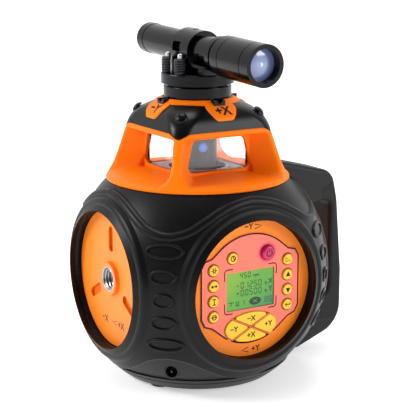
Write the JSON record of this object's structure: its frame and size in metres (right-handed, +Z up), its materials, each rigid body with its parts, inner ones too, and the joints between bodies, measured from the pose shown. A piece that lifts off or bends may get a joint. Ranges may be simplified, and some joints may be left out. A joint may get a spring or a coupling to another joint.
{
  "type": "rotary laser level",
  "caption": "Self-levelling rotary laser level: barrel body in a rubber jacket, glazed rotor head, round keypad panel, side tripod mount, carrying handle and sighting telescope.",
  "frame": {"origin": "mouth of the tripod thread under the base, level with the feet", "axes": "+Z up along the rotor's axis, +X out of the control panel, -Y out of the side mount"},
  "size_m": [0.1725, 0.207, 0.2573],
  "materials": {
    "jacket_rubber": "fine matte",
    "base_plastic": "fine grain",
    "foot_rubber": "matte",
    "orange_plastic": "satin",
    "inner_plastic": "matte",
    "handle_plastic": "fine grain",
    "grip_rubber": "satin",
    "cap_plastic": "satin",
    "clear_pane": "polished",
    "floor_plastic": "matte",
    "steel": "turned",
    "black_screw": "blackened",
    "frame_metal": "machined",
    "membrane": "fine matte film",
    "display": "backlit",
    "board": "solder mask",
    "battery_sleeve": "shrink film",
    "socket_plastic": "satin",
    "motor_case": "satin",
    "rotor_plastic": "satin",
    "prism_glass": "polished",
    "beam_window": "coated",
    "belt_rubber": "matte",
    "pulley_brass": "turned",
    "scope_black": "satin anodised",
    "lens_glass": "coated",
    "bright_metal": "polished",
    "key_plastic": "satin",
    "power_plastic": "gloss"
  },
  "bodies": {
    "housing": {"rubber_jacket": "jacket_rubber", "inner_housing": "inner_plastic", "base_plate": "base_plastic", "feet": "foot_rubber", "tripod_inserts": "steel", "side_mount_plate": "orange_plastic", "rear_door": "orange_plastic", "handle_side_plate": "handle_plastic", "handle_frame": "handle_plastic", "handle_grip": "grip_rubber", "housing_screws": "black_screw", "lighthouse_cage": "orange_plastic", "window_panes": "clear_pane", "lighthouse_floor": "floor_plastic", "top_cap": "cap_plastic", "axis_ring": "orange_plastic", "chassis_plate": "frame_metal", "panel_bezel": "orange_plastic", "keypad_overlay": "membrane", "lcd_module": "display", "control_board": "board", "battery_pack": "battery_sleeve", "charging_socket": "socket_plastic", "tilt_motors": "motor_case", "scope_base": "scope_black"},
    "gimbal": {"gimbal_ring": "frame_metal"},
    "laser_unit": {"laser_tube": "frame_metal", "laser_diode": "pulley_brass", "collimator_lens": "prism_glass", "spin_motor": "motor_case", "level_sensor": "inner_plastic", "drive_belt": "belt_rubber", "rotor_bearings": "steel"},
    "rotor": {"rotor_head": "rotor_plastic", "pentaprism": "prism_glass", "rotor_window": "beam_window"},
    "pulley": {"motor_pulley": "pulley_brass"},
    "rod_x": {"push_rod_x": "steel"},
    "rod_y": {"push_rod_y": "steel"},
    "telescope": {"scope_turntable": "scope_black", "scope_ring": "scope_black", "scope_tube": "scope_black", "objective_bell": "scope_black", "scope_lenses": "lens_glass", "scope_adjusters": "bright_metal"},
    "eyepiece": {"eyepiece": "scope_black"},
    "left_key_1": {"left_key_1": "key_plastic"},
    "left_key_2": {"left_key_2": "key_plastic"},
    "left_key_3": {"left_key_3": "key_plastic"},
    "left_key_4": {"left_key_4": "key_plastic"},
    "right_key_1": {"right_key_1": "key_plastic"},
    "right_key_2": {"right_key_2": "key_plastic"},
    "right_key_3": {"right_key_3": "key_plastic"},
    "right_key_4": {"right_key_4": "key_plastic"},
    "mode_key": {"mode_key": "key_plastic"},
    "pad_up": {"pad_up": "key_plastic"},
    "pad_down": {"pad_down": "key_plastic"},
    "pad_left": {"pad_left": "key_plastic"},
    "pad_right": {"pad_right": "key_plastic"},
    "power_key": {"power_key": "power_plastic"}
  },
  "joints": [
    {"name": "gimbal_tilt", "type": "hinge", "parent": "housing", "child": "gimbal", "pos_m": [0, 0, 0.114], "axis": [1, 0, 0], "range_deg": [-5, 5]},
    {"name": "laser_tilt", "type": "hinge", "parent": "gimbal", "child": "laser_unit", "pos_m": [0, 0, 0.114], "axis": [0, 1, 0], "range_deg": [-5, 5]},
    {"name": "rotor_spin", "type": "hinge", "parent": "laser_unit", "child": "rotor", "pos_m": [0, 0, 0.15], "axis": [0, 0, 1], "continuous": true},
    {"name": "motor_pulley_spin", "type": "hinge", "parent": "laser_unit", "child": "pulley", "pos_m": [-0.0198, 0.0198, 0.144], "axis": [0, 0, 1], "continuous": true},
    {"name": "push_rod_x_slide", "type": "slide", "parent": "housing", "child": "rod_x", "axis": [1, 0, 0], "range_m": [-0.0039, 0.0039]},
    {"name": "push_rod_y_slide", "type": "slide", "parent": "housing", "child": "rod_y", "axis": [0, 1, 0], "range_m": [-0.0039, 0.0039]},
    {"name": "scope_swivel", "type": "hinge", "parent": "housing", "child": "telescope", "pos_m": [0, 0, 0.217], "axis": [0, 0, 1], "continuous": true},
    {"name": "eyepiece_focus", "type": "hinge", "parent": "telescope", "child": "eyepiece", "pos_m": [0, 0, 0.2423], "axis": [0.9991, 0, -0.0419], "range_deg": [-170, 170]},
    {"name": "left_key_1_press", "type": "slide", "parent": "housing", "child": "left_key_1", "axis": [-1, 0, 0], "range_m": [0, 0.0007], "stiffness_N_per_m": 500},
    {"name": "left_key_2_press", "type": "slide", "parent": "housing", "child": "left_key_2", "axis": [-1, 0, 0], "range_m": [0, 0.0007], "stiffness_N_per_m": 500},
    {"name": "left_key_3_press", "type": "slide", "parent": "housing", "child": "left_key_3", "axis": [-1, 0, 0], "range_m": [0, 0.0007], "stiffness_N_per_m": 500},
    {"name": "left_key_4_press", "type": "slide", "parent": "housing", "child": "left_key_4", "axis": [-1, 0, 0], "range_m": [0, 0.0007], "stiffness_N_per_m": 500},
    {"name": "right_key_1_press", "type": "slide", "parent": "housing", "child": "right_key_1", "axis": [-1, 0, 0], "range_m": [0, 0.0007], "stiffness_N_per_m": 500},
    {"name": "right_key_2_press", "type": "slide", "parent": "housing", "child": "right_key_2", "axis": [-1, 0, 0], "range_m": [0, 0.0007], "stiffness_N_per_m": 500},
    {"name": "right_key_3_press", "type": "slide", "parent": "housing", "child": "right_key_3", "axis": [-1, 0, 0], "range_m": [0, 0.0007], "stiffness_N_per_m": 500},
    {"name": "right_key_4_press", "type": "slide", "parent": "housing", "child": "right_key_4", "axis": [-1, 0, 0], "range_m": [0, 0.0007], "stiffness_N_per_m": 500},
    {"name": "mode_key_press", "type": "slide", "parent": "housing", "child": "mode_key", "axis": [-1, 0, 0], "range_m": [0, 0.0007], "stiffness_N_per_m": 500},
    {"name": "power_key_press", "type": "slide", "parent": "housing", "child": "power_key", "axis": [-1, 0, 0], "range_m": [0, 0.0007], "stiffness_N_per_m": 500},
    {"name": "pad_up_press", "type": "slide", "parent": "housing", "child": "pad_up", "axis": [-1, 0, 0], "range_m": [0, 0.0007], "stiffness_N_per_m": 500},
    {"name": "pad_down_press", "type": "slide", "parent": "housing", "child": "pad_down", "axis": [-1, 0, 0], "range_m": [0, 0.0007], "stiffness_N_per_m": 500},
    {"name": "pad_left_press", "type": "slide", "parent": "housing", "child": "pad_left", "axis": [-1, 0, 0], "range_m": [0, 0.0007], "stiffness_N_per_m": 500},
    {"name": "pad_right_press", "type": "slide", "parent": "housing", "child": "pad_right", "axis": [-1, 0, 0], "range_m": [0, 0.0007], "stiffness_N_per_m": 500}
  ],
  "couplings": [
    {"joint": "motor_pulley_spin", "follows": "rotor_spin", "ratio": 2.5},
    {"joint": "push_rod_x_slide", "follows": "laser_tilt", "m_per_rad": -0.044},
    {"joint": "push_rod_y_slide", "follows": "gimbal_tilt", "m_per_rad": 0.044}
  ]
}
